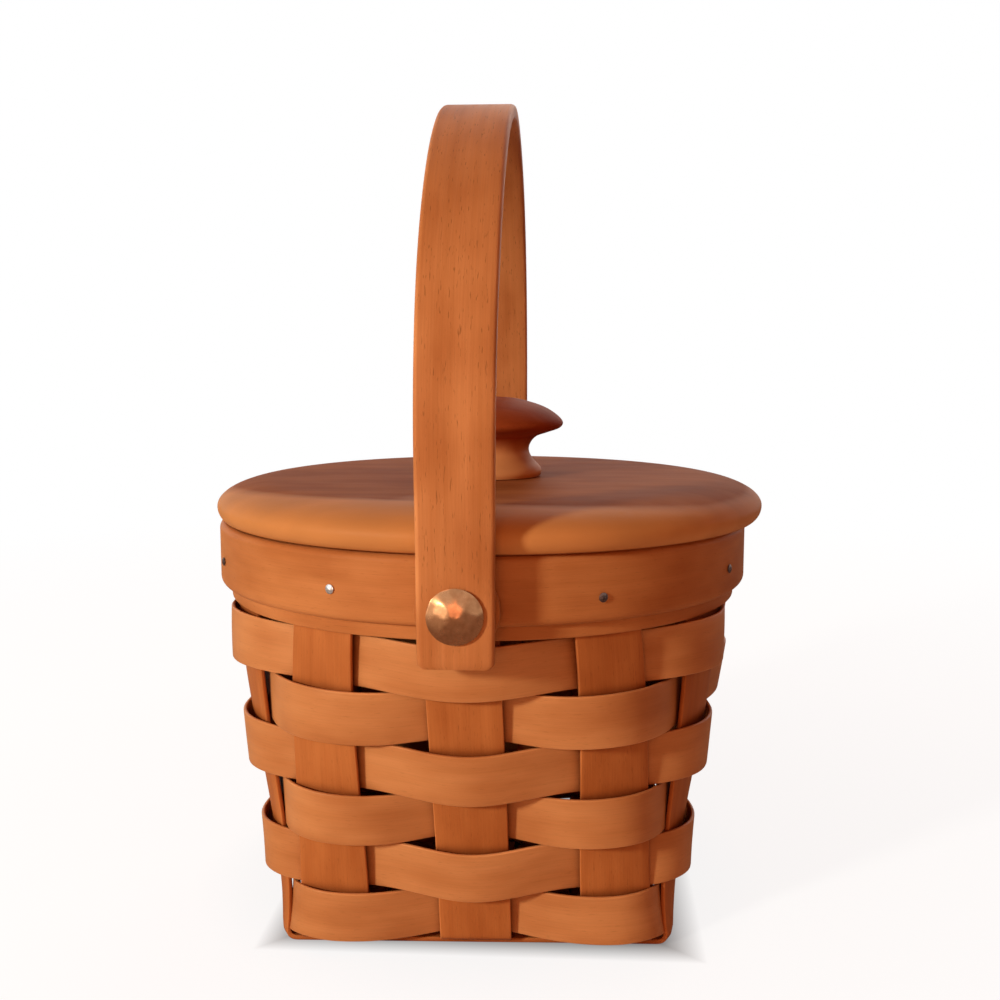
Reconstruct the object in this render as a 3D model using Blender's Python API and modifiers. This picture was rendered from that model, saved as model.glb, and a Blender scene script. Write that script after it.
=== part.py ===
"""A woven splint pie basket with a turned wooden lid and a swinging bentwood handle.

Lengths are in metres, +Z is up. The origin is on the resting plane, under the middle of the base.
The near leg of the handle stands at -Y and the handle swings about the Y direction.
"""

import math

import bmesh
import bpy
from mathutils import Matrix, Vector

# Fits between neighbouring pieces
clearance = 0.0003
pin_clearance = 0.0003
cut_overrun = 0.002
merge_distance = 0.00001

# Woven wall, measured on the middle of the upright splints
rim_radius = 0.0889
base_corner_margin = 0.0066
cross_corner_margin = 0.0016
band_low = 0.107
band_depth = 0.0203
base_turn_deg = 2.3
floor_roundness_share = 0.1
roundness_power = 0.8
wall_curve_share = 0.5

# Upright splints, which also cross under the basket to make its floor
stake_width = 0.022
stake_thickness = 0.0015
bend_radius = 0.0035
upper_bend_radius = 0.0020
stake_top_drop = 0.001
filler_width = 0.0160
splint_gap = 0.0029
filler_end_setback = 0.0030
filler_end_lap = 0.0040
floor_ease = 0.0006

# Woven rows
row_count = 6
rows_low = 0.0040
rows_top_gap = 0.0006
row_gap = 0.0005
weaver_thickness = 0.0012
weaver_sway = 0.0040
weaver_lean = 0.0005
weaver_front_lift = 0.0012
weaver_side_lift = -0.0009
front_lift_power = 36.0
lift_fade_power = 3.0
front_dip = 0.0010
front_dip_power = 3.0
weave_place_shares = ((0.0, 1.0), (0.6, 0.88), (1.05, 0.6))

# Rim
band_thickness = 0.0032
band_top_round = 0.0022
band_bottom_round = 0.0024
inner_band_thickness = 0.0026
inner_band_round = 0.0008
trim_thickness = 0.001
trim_show = 0.0044
trim_tuck = 0.011
nail_head_radius = 0.0014
nail_head_rise = 0.0006
nail_shank_radius = 0.0008
nail_angles_deg = (26.8, 64.0, 116.0, 154.0, 206.0, 244.0, 296.0, 335.1)
nail_height_shares = (0.37, 0.43, 0.45, 0.40, 0.43, 0.39, 0.45, 0.45)

# Lid
lid_overhang = 0.0030
lid_thickness = 0.0127
lid_drift = 0.0024
lid_top_round_in = 0.020
lid_top_round_down = 0.008
lid_bottom_round_in = 0.004
plug_thickness = 0.0070
plug_play = 0.0030
plug_chamfer = 0.001

# Knob and its screw
knob_radius = 0.025
knob_height = 0.0268
knob_outline_shares = (
    (0.00, 1.000),
    (0.30, 0.985),
    (0.55, 0.935),
    (0.76, 0.865),
    (0.92, 0.770),
    (1.00, 0.680),
    (0.96, 0.610),
    (0.80, 0.555),
    (0.64, 0.500),
    (0.55, 0.400),
    (0.54, 0.300),
    (0.60, 0.200),
    (0.69, 0.110),
    (0.71, 0.050),
    (0.69, 0.000),
)
screw_radius = 0.0021
screw_head_radius = 0.0042
screw_head_depth = 0.0022
screw_in_knob = 0.013

# Handle, a flat strap bent to an arch in the YZ plane
hinge_rise = 0.0055
leg_lid_gap = 0.0013
leg_splay = 0.0010
strap_thickness = 0.0047
strap_foot_width = 0.0212
strap_crown_width = 0.0232
strap_edge_round = 0.0013
foot_drop = 0.0150
spring_rise = 0.0167
arch_rise = 0.1062
arch_power_out = 1.78
arch_power_up = 2.07

# Rivets that the handle swings on
rivet_radius = 0.0024
rivet_head_radius = 0.00785
rivet_head_rise = 0.0034
rivet_head_edge = 0.0006
rivet_tail_radius = 0.0036
rivet_tail_rise = 0.0010
spacer_radius = 0.0119
burr_radius = 0.0060
burr_thickness = 0.0010
burr_seat_gap = 0.0007

# Fineness of the meshes
ring_steps = 64
inner_ring_steps = 48
wall_steps = 6
bend_steps = 4
arch_steps = 12
round_steps = 2
small_steps = 12
lid_round_steps = 6
knob_steps = 32
head_steps = 24

# Places worked out from the sizes above
stake_count = 12
stake_pitch = stake_width + filler_width + 2 * splint_gap
base_half = stake_pitch + stake_width / 2 + base_corner_margin
band_high = band_low + band_depth
trim_low = band_low - trim_show
trim_high = band_low + trim_tuck
hinge_height = band_low + hinge_rise
lid_radius = rim_radius + lid_overhang
wall_radius = rim_radius - band_thickness - trim_thickness - 2 * clearance - stake_thickness / 2
trim_outer = rim_radius - band_thickness - clearance
inner_band_outer = wall_radius - stake_thickness / 2 - clearance
inner_band_inner = inner_band_outer - inner_band_thickness
row_pitch = (trim_low - rows_top_gap - rows_low) / row_count
weaver_width = row_pitch - row_gap
cross_pitch = base_half - cross_corner_margin - stake_width / 2
floor_low = stake_thickness / 2
floor_high = floor_low + stake_thickness + clearance
lid_low = band_high + clearance
lid_high = lid_low + lid_thickness
spring_height = lid_high + spring_rise
crown_height = spring_height + arch_rise
leg_inner = lid_radius + leg_lid_gap
leg_middle = leg_inner + strap_thickness / 2
leg_outer = leg_inner + strap_thickness
spacer_thickness = leg_inner - rim_radius - 2 * clearance
burr_outer = inner_band_inner - burr_seat_gap
axis_z = Vector((0.0, 0.0, 1.0))


def start_scene():
    for old in list(bpy.data.objects):
        bpy.data.objects.remove(old, do_unlink=True)
    parts = bpy.data.collections.new("pie_basket")
    cutters = bpy.data.collections.new("cutters")
    nail_cutters = bpy.data.collections.new("nail_cutters")
    rivet_cutters = bpy.data.collections.new("rivet_cutters")
    bpy.context.scene.collection.children.link(parts)
    bpy.context.scene.collection.children.link(cutters)
    cutters.children.link(nail_cutters)
    cutters.children.link(rivet_cutters)
    return parts, nail_cutters, rivet_cutters


def make_material(name, finish):
    colour, roughness, metallic = finish
    material = bpy.data.materials.new(name)
    material.use_nodes = True
    shader = material.node_tree.nodes["Principled BSDF"]
    shader.inputs["Base Color"].default_value = (*colour, 1.0)
    shader.inputs["Roughness"].default_value = roughness
    shader.inputs["Metallic"].default_value = metallic
    material.diffuse_color = (*colour, 1.0)
    return material


def finishes():
    """Colour, roughness and metallic value of each kind of piece."""
    return {
        "splint": ((0.56, 0.20, 0.055), 0.45, 0.0),
        "rim": ((0.52, 0.17, 0.042), 0.42, 0.0),
        "handle": ((0.55, 0.19, 0.052), 0.42, 0.0),
        "lid": ((0.50, 0.16, 0.040), 0.38, 0.0),
        "knob": ((0.30, 0.065, 0.022), 0.35, 0.0),
        "copper": ((0.46, 0.24, 0.15), 0.35, 1.0),
        "steel": ((0.62, 0.60, 0.58), 0.35, 1.0),
    }


def add_object(name, mesh, collection, finish):
    obj = bpy.data.objects.new(name, mesh)
    collection.objects.link(obj)
    if finish is not None:
        mesh.materials.append(make_material(name, finish))
    return obj


def mesh_from(bm, name):
    mesh = bpy.data.meshes.new(name)
    bm.to_mesh(mesh)
    bm.free()
    mesh.shade_smooth()
    mesh.set_sharp_from_angle(angle=math.radians(40.0))
    return mesh


def solidify(obj, thickness):
    modifier = obj.modifiers.new("thickness", "SOLIDIFY")
    modifier.thickness = thickness
    modifier.offset = 0.0
    modifier.use_even_offset = True
    modifier.use_rim = True


def cut_with(obj, collection):
    modifier = obj.modifiers.new("holes", "BOOLEAN")
    modifier.operation = "DIFFERENCE"
    modifier.solver = "EXACT"
    modifier.operand_type = "COLLECTION"
    modifier.collection = collection


def turned(name, profile, steps, collection, finish, loop=False):
    """A profile of (radius, height) points, running down its outer side, spun about the object's Z."""
    mesh = bpy.data.meshes.new(name)
    count = len(profile)
    edges = [(i, i + 1) for i in range(count - 1)]
    if loop:
        edges.append((count - 1, 0))
    mesh.from_pydata([(r, 0.0, z) for r, z in profile], edges, [])
    obj = add_object(name, mesh, collection, finish)
    screw = obj.modifiers.new("turning", "SCREW")
    screw.axis = "Z"
    screw.angle = math.tau
    screw.steps = steps
    screw.render_steps = steps
    screw.use_merge_vertices = True
    screw.merge_threshold = merge_distance
    screw.use_smooth_shade = True
    return obj


def face_outward(obj, radius, height, angle_deg):
    """Turns the object's Z to point away from the basket's axis and moves it to that radius and height."""
    angle = math.radians(angle_deg)
    out = Vector((math.sin(angle), -math.cos(angle), 0.0))
    side = Vector((math.cos(angle), math.sin(angle), 0.0))
    turn = Matrix((side, axis_z, out)).transposed().to_4x4()
    obj.matrix_world = Matrix.Translation(out * radius + axis_z * height) @ turn


def arc(centre_r, centre_z, radius_r, radius_z, start_deg, end_deg, steps):
    """Points of an elliptic arc in the (radius, height) plane, angles from the outward direction."""
    points = []
    for i in range(steps + 1):
        angle = math.radians(start_deg + (end_deg - start_deg) * i / steps)
        points.append((centre_r + radius_r * math.cos(angle), centre_z + radius_z * math.sin(angle)))
    return points


# The wall: u counts the uprights round the basket from the front one, z is the height.


def wall_rise(z):
    return min(max(z / band_low, 0.0), 1.0)


def outline_angle(u, z):
    """The direction of place u seen from the axis. Uprights stand wider apart at the square base.

    The outer uprights of the left and right sides stand closer to the corners than those of the others.
    """
    rim_angle = math.tau / stake_count
    floor_angle = math.atan2(stake_pitch, base_half)
    cross_angle = math.atan2(cross_pitch, base_half)
    third = math.tau / 3
    wave = math.sin(third * u)
    shift = (floor_angle - rim_angle) * wave
    shift += (cross_angle - floor_angle) * (wave - math.sin(third * u / 2)) / 2
    return rim_angle * u + (1.0 - wall_rise(z)) * shift / math.sin(third)


def wall_point(u, z):
    rise = wall_rise(z)
    flare = rise + wall_curve_share * rise * (1.0 - rise) * (2.0 * rise - 1.0)
    half = base_half + (wall_radius - base_half) * flare
    roundness = floor_roundness_share + (1.0 - floor_roundness_share) * rise**roundness_power
    power = 2.0 / roundness
    angle = outline_angle(u, z)
    spread = abs(math.cos(angle)) ** power + abs(math.sin(angle)) ** power
    radius = half / spread ** (1.0 / power)
    turned_angle = angle + math.radians(base_turn_deg) * (1.0 - rise)
    return Vector((radius * math.sin(turned_angle), -radius * math.cos(turned_angle), z))


def wall_normal(u, z):
    step_u = 0.01
    step_z = stake_thickness / 2
    along = wall_point(u + step_u, z) - wall_point(u - step_u, z)
    up = wall_point(u, z + step_z) - wall_point(u, z - step_z)
    return along.cross(up).normalized()


def beside(u, z, distance):
    """The place that lies the given distance along the wall from place u, at the same height."""
    pieces = 4
    step_u = 0.01
    for _ in range(pieces):
        rate = (wall_point(u + step_u, z) - wall_point(u - step_u, z)).length / (2 * step_u)
        u += distance / pieces / rate
    return u


# Uprights and fillers


def floor_levels(end, pitch, crossings, over_stakes, last_level):
    """(distance, height) pairs along a floor strip that passes over and under the strips it crosses.

    The crossed strips are counted in half pitches from the middle. Even ones are uprights, odd ones fillers.
    """
    levels = [(-end, last_level)]
    for crossing in crossings:
        crosses_stake = crossing % 2 == 0
        half_width = (stake_width if crosses_stake else filler_width) / 2 + floor_ease
        height = floor_high if crosses_stake == over_stakes else floor_low
        middle = crossing * pitch / 2
        if crossing > -2:
            levels.append((middle - half_width, height))
        if crossing < 2:
            levels.append((middle + half_width, height))
    levels.append((end, last_level))
    return levels


def side_points(u_centre, across, direction, level, bend):
    """One side of an upright from its top down to the floor, at the distance across from its middle."""
    top = band_high - stake_top_drop
    foot = level + bend
    heights = [top + (band_low - top) * i / 2 for i in range(2)]
    heights += [band_low + (foot - band_low) * i / wall_steps for i in range(wall_steps + 1)]
    points = [wall_point(beside(u_centre, z, across * direction), z) for z in heights]
    corner = wall_point(beside(u_centre, level, across * direction), level)
    return points, corner


def bend_points(wall_foot, corner, floor_start):
    points = []
    for i in range(1, bend_steps):
        t = i / bend_steps
        a = wall_foot.lerp(corner, t)
        b = corner.lerp(floor_start, t)
        points.append(a.lerp(b, t))
    return points


def stake_line(u_start, u_end, across, pitch, crossings, over_stakes):
    """All points of one long line of an upright: down one side, across the floor and up the other."""
    level = floor_high if over_stakes else floor_low
    bend = upper_bend_radius if over_stakes else bend_radius
    start_side, start_corner = side_points(u_start, across, 1.0, level, bend)
    end_side, end_corner = side_points(u_end, across, -1.0, level, bend)
    direction = (end_corner - start_corner).normalized()
    middle = (start_corner + end_corner) / 2
    end = (end_corner - start_corner).length / 2 - bend
    floor = []
    for distance, height in floor_levels(end, pitch, crossings, over_stakes, level):
        spot = middle + direction * distance
        floor.append(Vector((spot.x, spot.y, height)))
    first_bend = bend_points(start_side[-1], start_corner, floor[0])
    last_bend = bend_points(end_side[-1], end_corner, floor[-1])
    return start_side + first_bend + floor + last_bend[::-1] + end_side[::-1]


def strip(name, lines, thickness, collection, finish):
    """A grid whose long lines are the given point lists, thickened to a splint."""
    bm = bmesh.new()
    columns = len(lines) - 1
    rows = len(lines[0]) - 1
    bmesh.ops.create_grid(bm, x_segments=columns, y_segments=rows, size=1.0)
    bm.verts.ensure_lookup_table()
    for vert in bm.verts:
        column = round((vert.co.x + 1.0) / 2.0 * columns)
        row = round((vert.co.y + 1.0) / 2.0 * rows)
        vert.co = lines[column][row]
    obj = add_object(name, mesh_from(bm, name), collection, finish)
    solidify(obj, thickness)
    return obj


def lines_across(index):
    """Distances of an upright's long lines from its middle. Those by the corners are bent more."""
    pieces = 2 if index == 0 else 4
    return [stake_width * (i / pieces - 0.5) for i in range(pieces + 1)]


def add_stakes(parts, nail_cutters, rivet_cutters, finish):
    """The lengthways ones pass over the crossways ones and under the crossways fillers."""
    everything = (-2, -1, 0, 1, 2)
    for label, index in (("left", -1), ("middle", 0), ("right", 1)):
        ends = (index, 6 - index)
        lines = [stake_line(*ends, across, cross_pitch, everything, True) for across in lines_across(index)]
        obj = strip(f"stake_lengthways_{label}", lines, stake_thickness, parts, finish)
        cut_with(obj, rivet_cutters if index == 0 else nail_cutters)
    for label, index in (("front", -1), ("middle", 0), ("back", 1)):
        ends = (9 - index, 3 + index)
        crossed = everything if index == 0 else (-2, 0, 2)
        lines = [stake_line(*ends, across, stake_pitch, crossed, False) for across in lines_across(index)]
        obj = strip(f"stake_crossways_{label}", lines, stake_thickness, parts, finish)
        if index != 0:
            cut_with(obj, nail_cutters)


def add_fillers(parts, finish):
    """Short floor splints that close the openings between the uprights where they cross.

    The ends of the lengthways ones lie on the outer crossways uprights, and the crossways ones reach the wall.
    """
    half = filler_width / 2
    turn = Matrix.Rotation(math.radians(base_turn_deg), 3, "Z")
    end = cross_pitch - stake_width / 2 + filler_end_lap
    levels = floor_levels(end, cross_pitch, (-1, 0, 1), False, floor_high)
    for label, place in (("left", -stake_pitch / 2), ("right", stake_pitch / 2)):
        lines = []
        for across in (-half, half):
            lines.append([turn @ Vector((place + across, s, z)) for s, z in levels])
        strip(f"floor_filler_lengthways_{label}", lines, stake_thickness, parts, finish)
    end = base_half - filler_end_setback
    levels = floor_levels(end, stake_pitch, (-2, -1, 0, 1, 2), True, floor_high)
    for label, place in (("front", -cross_pitch / 2), ("back", cross_pitch / 2)):
        lines = []
        for across in (-half, half):
            lines.append([turn @ Vector((s, place + across, z)) for s, z in levels])
        strip(f"floor_filler_crossways_{label}", lines, stake_thickness, parts, finish)


# Woven rows


def weaver_stations(row):
    """(upright, distance along the wall from its middle, wave) all round a row. None is half way between.

    The wave is 1 where the row is fully outside an upright and -1 where it is fully inside one.
    """
    half = stake_width / 2
    shares = [(-place, lift) for place, lift in weave_place_shares[:0:-1]] + list(weave_place_shares)
    stations = []
    for upright in range(stake_count):
        side = 1.0 if (upright + row) % 2 == 0 else -1.0
        stations += [(upright, place * half, side * lift) for place, lift in shares]
        stations.append((upright + 0.5, None, 0.0))
    return stations


def weaver_point(row, station, edge):
    """Rows count from 1 at the floor. edge is -1 on the row's lower edge and 1 on its upper edge."""
    place, distance, wave = station
    middle = rows_low + row_pitch * (row - 0.5)
    front = (1.0 + math.cos(math.tau * place / stake_count)) / 2
    dip = front_dip * front**front_dip_power * (1.0 - wall_rise(middle))
    lift = weaver_side_lift + (weaver_front_lift - weaver_side_lift) * front**front_lift_power
    lift *= front * (1.0 - wall_rise(middle) ** lift_fade_power)
    z = middle + edge * weaver_width / 2 - lift * wave - dip
    u = place if distance is None else beside(place, z, distance)
    out = weaver_sway * wave - weaver_lean * edge
    return wall_point(u, z) + wall_normal(u, z) * out


def add_weavers(parts, finish):
    for row in range(1, row_count + 1):
        stations = weaver_stations(row)
        steps = len(stations)
        bm = bmesh.new()
        bmesh.ops.create_cone(
            bm, cap_ends=False, segments=steps, radius1=1.0, radius2=1.0, depth=2.0
        )
        for vert in bm.verts:
            turn = math.atan2(vert.co.x, -vert.co.y) / math.tau
            vert.co = weaver_point(row, stations[round(turn * steps) % steps], vert.co.z)
        name = f"weaver_row_{row}"
        obj = add_object(name, mesh_from(bm, name), parts, finish)
        solidify(obj, weaver_thickness)


# Rim


def ring_profile(inner, outer, low, high, top_round, bottom_round, inner_round, steps):
    """A closed ring section, rounded outside at the top and bottom and eased inside."""
    points = arc(outer - top_round, high - top_round, top_round, top_round, 90, 0, steps)
    points += arc(outer - bottom_round, low + bottom_round, bottom_round, bottom_round, 0, -90, steps)
    points += [(inner + inner_round, low), (inner, low + inner_round)]
    points += [(inner, high - inner_round), (inner + inner_round, high)]
    return points


def add_rim(parts, nail_cutters, rivet_cutters, finish):
    outer_inner = rim_radius - band_thickness
    ease = band_thickness - max(band_top_round, band_bottom_round)
    profile = ring_profile(
        outer_inner,
        rim_radius,
        band_low,
        band_high,
        band_top_round,
        band_bottom_round,
        ease / 2,
        round_steps,
    )
    outer = turned("rim_band_outer", profile, ring_steps, parts, finish, loop=True)
    profile = ring_profile(
        inner_band_inner,
        inner_band_outer,
        band_low,
        band_high,
        inner_band_round,
        inner_band_round,
        inner_band_round,
        1,
    )
    inner = turned("rim_band_inner", profile, inner_ring_steps, parts, finish, loop=True)
    trim_inner = trim_outer - trim_thickness
    profile = [
        (trim_outer, trim_high),
        (trim_outer, trim_low),
        (trim_inner, trim_low),
        (trim_inner, trim_high),
    ]
    trim = turned("rim_trim_strip", profile, ring_steps, parts, finish, loop=True)
    for obj in (outer, inner, trim):
        cut_with(obj, nail_cutters)
        cut_with(obj, rivet_cutters)


def add_cutter(name, radius, inner, outer, height, angle_deg, steps, collection):
    """A round cutter that lies along a radius of the basket, from the inner to the outer distance."""
    bm = bmesh.new()
    bmesh.ops.create_cone(
        bm, cap_ends=True, segments=steps, radius1=radius, radius2=radius, depth=outer - inner
    )
    mesh = bpy.data.meshes.new(name)
    bm.to_mesh(mesh)
    bm.free()
    obj = add_object(name, mesh, collection, None)
    face_outward(obj, (inner + outer) / 2, height, angle_deg)
    obj.hide_render = True
    obj.display_type = "WIRE"


def nail_places():
    """(angle, height) of each nail."""
    heights = [band_low + band_depth * share for share in nail_height_shares]
    return list(zip(nail_angles_deg, heights))


def add_cutters(nail_cutters, rivet_cutters):
    inner = inner_band_inner - cut_overrun
    nail_hole = nail_shank_radius + pin_clearance
    for index, (angle_deg, height) in enumerate(nail_places()):
        name = f"nail_hole_{index + 1}"
        outer = rim_radius + cut_overrun
        add_cutter(name, nail_hole, inner, outer, height, angle_deg, small_steps, nail_cutters)
    rivet_hole = rivet_radius + pin_clearance
    for label, angle_deg in (("front", 0.0), ("back", 180.0)):
        name = f"rivet_hole_{label}"
        outer = leg_outer + cut_overrun
        add_cutter(name, rivet_hole, inner, outer, hinge_height, angle_deg, small_steps, rivet_cutters)


def add_nails(parts, finish):
    seat = clearance
    length = rim_radius - inner_band_inner
    profile = [(0.0, seat + nail_head_rise)]
    dome = arc(0.0, seat, nail_head_radius, nail_head_rise, 60, 0, 2)
    profile += dome
    profile += [(nail_shank_radius, seat), (nail_shank_radius, -length), (0.0, -length)]
    for index, (angle_deg, height) in enumerate(nail_places()):
        nail = turned(f"rim_nail_{index + 1}", profile, small_steps, parts, finish)
        face_outward(nail, rim_radius, height, angle_deg)


# Handle and its rivets


def arch_path():
    """(y, z) points on the middle of the strap from the near foot up to the crown."""
    rise = arch_rise - strap_thickness / 2
    widest = leg_middle + leg_splay
    points = [(-leg_middle, hinge_height - foot_drop), (-leg_middle, hinge_height + foot_drop)]
    for i in range(arch_steps + 1):
        angle = math.pi / 2 * i / arch_steps
        y = widest * max(math.cos(angle), 0.0) ** (2.0 / arch_power_out)
        points.append((-y, spring_height + rise * math.sin(angle) ** (2.0 / arch_power_up)))
    return points


def add_handle(parts, rivet_cutters, finish):
    near = arch_path()
    path = near + [(-y, z) for y, z in near[-2::-1]]
    foot = hinge_height - foot_drop
    lines = []
    for side in (-1, 1):
        line = []
        for y, z in path:
            rise = (z - foot) / (crown_height - foot)
            half = (strap_foot_width + (strap_crown_width - strap_foot_width) * rise) / 2
            line.append(Vector((side * half, y, z - hinge_height)))
        lines.append(line)
    obj = strip("handle_strap", lines, strap_thickness, parts, finish)
    bevel = obj.modifiers.new("edges", "BEVEL")
    bevel.width = strap_edge_round
    bevel.segments = 2
    bevel.limit_method = "ANGLE"
    bevel.angle_limit = math.radians(50.0)
    cut_with(obj, rivet_cutters)
    pivot = bpy.data.objects.new("handle_pivot", None)
    pivot.location = (0.0, 0.0, hinge_height)
    parts.objects.link(pivot)
    obj.parent = pivot


def add_rivets(parts, copper):
    head = leg_outer + clearance
    burr_inner = burr_outer - burr_thickness - clearance
    tail = burr_inner - head
    rim = rivet_head_edge
    profile = [(0.0, rivet_head_rise)]
    profile += arc(0.0, rim, rivet_head_radius, rivet_head_rise - rim, 72, 0, 4)
    profile += [(rivet_head_radius, 0.0), (rivet_radius, 0.0), (rivet_radius, tail)]
    profile += [(rivet_tail_radius, tail), (rivet_tail_radius, tail - rivet_tail_rise / 2)]
    profile += [(rivet_radius, tail - rivet_tail_rise), (0.0, tail - rivet_tail_rise)]
    for label, angle_deg in (("front", 0.0), ("back", 180.0)):
        rivet = turned(f"handle_rivet_{label}", profile, head_steps, parts, copper)
        face_outward(rivet, head, hinge_height, angle_deg)


def add_washers(kind, radius, thickness, inner_face, parts, finish):
    """A washer on each rivet, front and back, whose inner face is that far from the basket's axis."""
    hole = rivet_radius + pin_clearance
    profile = [(radius, thickness), (radius, 0.0), (hole, 0.0), (hole, thickness)]
    for label, angle_deg in (("front", 0.0), ("back", 180.0)):
        washer = turned(f"{kind}_{label}", profile, head_steps, parts, finish, loop=True)
        face_outward(washer, inner_face, hinge_height, angle_deg)


# Lid


def add_lid(parts, kinds):
    lift = bpy.data.objects.new("lid_lift", None)
    lift.location = (lid_drift, 0.0, lid_low)
    parts.objects.link(lift)
    bore = screw_radius + pin_clearance
    widest = lid_thickness - lid_top_round_down
    profile = [(bore, lid_thickness)]
    inner = lid_radius - lid_top_round_in
    profile += arc(inner, widest, lid_top_round_in, lid_top_round_down, 90, 0, lid_round_steps)
    inner = lid_radius - lid_bottom_round_in
    profile += arc(inner, widest, lid_bottom_round_in, widest, 0, -90, lid_round_steps // 2)[1:]
    profile.append((bore, 0.0))
    board = turned("lid_board", profile, ring_steps, parts, kinds["lid"], loop=True)
    plug_radius = inner_band_inner - plug_play
    plug_top = -clearance
    plug_low = plug_top - plug_thickness
    sink = screw_head_radius + pin_clearance
    profile = [
        (plug_radius, plug_top),
        (plug_radius, plug_low + plug_chamfer),
        (plug_radius - plug_chamfer, plug_low),
        (sink, plug_low),
        (bore, plug_low + screw_head_depth + pin_clearance),
        (bore, plug_top),
    ]
    plug = turned("lid_plug", profile, inner_ring_steps, parts, kinds["lid"], loop=True)
    knob = add_knob(parts, kinds["knob"], bore)
    screw = add_screw(parts, kinds["steel"], plug_low)
    for obj in (board, plug, knob, screw):
        obj.parent = lift


def add_knob(parts, finish, bore):
    seat = lid_thickness + clearance
    depth = seat + screw_in_knob + pin_clearance
    profile = [(r * knob_radius, seat + z * knob_height) for r, z in knob_outline_shares]
    profile += [(bore, seat), (bore, depth), (0.0, depth)]
    return turned("lid_knob", profile, knob_steps, parts, finish)


def add_screw(parts, finish, plug_low):
    tip = lid_thickness + clearance + screw_in_knob
    neck = plug_low + screw_head_depth
    profile = [
        (0.0, tip),
        (screw_radius, tip - screw_radius),
        (screw_radius, neck),
        (screw_head_radius, plug_low),
        (0.0, plug_low),
    ]
    return turned("lid_screw", profile, small_steps, parts, finish)


def main():
    parts, nail_cutters, rivet_cutters = start_scene()
    kinds = finishes()
    add_cutters(nail_cutters, rivet_cutters)
    add_stakes(parts, nail_cutters, rivet_cutters, kinds["splint"])
    add_fillers(parts, kinds["splint"])
    add_weavers(parts, kinds["splint"])
    add_rim(parts, nail_cutters, rivet_cutters, kinds["rim"])
    add_nails(parts, kinds["steel"])
    add_handle(parts, rivet_cutters, kinds["handle"])
    add_rivets(parts, kinds["copper"])
    spacer_face = rim_radius + clearance
    add_washers("handle_spacer", spacer_radius, spacer_thickness, spacer_face, parts, kinds["rim"])
    burr_face = burr_outer - burr_thickness
    add_washers("rivet_burr", burr_radius, burr_thickness, burr_face, parts, kinds["copper"])
    add_lid(parts, kinds)


main()
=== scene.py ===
"""The looks of a woven splint pie basket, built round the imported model. Lengths are in metres, +Z is up."""

import math
import random

import bpy
import numpy as np
from mathutils import Matrix, Vector


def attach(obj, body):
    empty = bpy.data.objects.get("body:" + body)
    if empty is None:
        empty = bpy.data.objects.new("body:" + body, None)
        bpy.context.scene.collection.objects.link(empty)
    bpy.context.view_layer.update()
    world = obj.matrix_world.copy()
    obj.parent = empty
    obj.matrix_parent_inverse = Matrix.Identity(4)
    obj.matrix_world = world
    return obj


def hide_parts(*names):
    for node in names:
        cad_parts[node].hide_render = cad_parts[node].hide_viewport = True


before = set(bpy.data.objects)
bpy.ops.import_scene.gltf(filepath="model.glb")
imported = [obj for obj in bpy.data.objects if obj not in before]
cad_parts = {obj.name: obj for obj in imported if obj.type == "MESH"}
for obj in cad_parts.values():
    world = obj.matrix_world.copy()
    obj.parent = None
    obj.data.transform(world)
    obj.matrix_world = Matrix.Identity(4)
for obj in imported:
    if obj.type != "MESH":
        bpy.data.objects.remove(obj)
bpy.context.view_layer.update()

# Sizes of the solids that the finer pieces follow
clearance = 0.0003
pin_clearance = 0.0003
rim_radius = 0.0889
base_half = 0.0614
band_low = 0.107
band_high = 0.1273
base_turn = math.radians(2.3)
floor_roundness = 0.1
roundness_power = 0.8
wall_curve_share = 0.5
stake_width = 0.022
stake_thickness = 0.0015
stake_pitch = 0.0438
cross_corner_margin = 0.0016
bend_radius = 0.0035
upper_bend_radius = 0.0020
stake_top_drop = 0.001
filler_width = 0.0160
filler_end_setback = 0.0030
filler_end_lap = 0.0040
floor_ease = 0.0006
row_count = 6
rows_low = 0.0040
rows_top_gap = 0.0006
row_gap = 0.0005
weaver_thickness = 0.0012
weaver_sway = 0.0040
weaver_lean = 0.0005
weaver_front_lift = 0.0012
weaver_side_lift = -0.0009
front_lift_power = 36.0
lift_fade_power = 3.0
front_dip = 0.0010
front_dip_power = 3.0
band_thickness = 0.0032
band_top_round = 0.0022
band_bottom_round = 0.0024
inner_band_thickness = 0.0026
inner_band_round = 0.0008
trim_thickness = 0.001
trim_low = 0.1026
trim_high = 0.118
nail_head_radius = 0.0014
nail_head_rise = 0.0006
nail_shank_radius = 0.0008
nail_angles_deg = (26.8, 64.0, 116.0, 154.0, 206.0, 244.0, 296.0, 335.1)
nail_height_shares = (0.37, 0.43, 0.45, 0.40, 0.43, 0.39, 0.45, 0.45)
lid_radius = 0.0919
lid_thickness = 0.0127
lid_drift = 0.0024
lid_top_round_in = 0.020
lid_top_round_down = 0.008
lid_bottom_round_in = 0.004
knob_radius = 0.025
knob_height = 0.0268
knob_outline_shares = (
    (0.00, 1.000), (0.30, 0.985), (0.55, 0.935), (0.76, 0.865), (0.92, 0.770), (1.00, 0.680),
    (0.96, 0.610), (0.80, 0.555), (0.64, 0.500), (0.55, 0.400), (0.54, 0.300), (0.60, 0.200),
    (0.69, 0.110), (0.71, 0.050), (0.69, 0.000),
)
screw_radius = 0.0021
screw_in_knob = 0.013
hinge_height = 0.1125
leg_lid_gap = 0.0013
leg_splay = 0.0010
strap_thickness = 0.0047
strap_foot_width = 0.0212
strap_crown_width = 0.0232
strap_edge_round = 0.0013
foot_drop = 0.0150
arch_rise = 0.1062
spring_rise = 0.0167
arch_power_out = 1.78
arch_power_up = 2.07
rivet_radius = 0.0024
rivet_head_radius = 0.00785
rivet_head_rise = 0.0034
rivet_tail_rise = 0.0010
spacer_radius = 0.0119
burr_thickness = 0.0010
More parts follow.
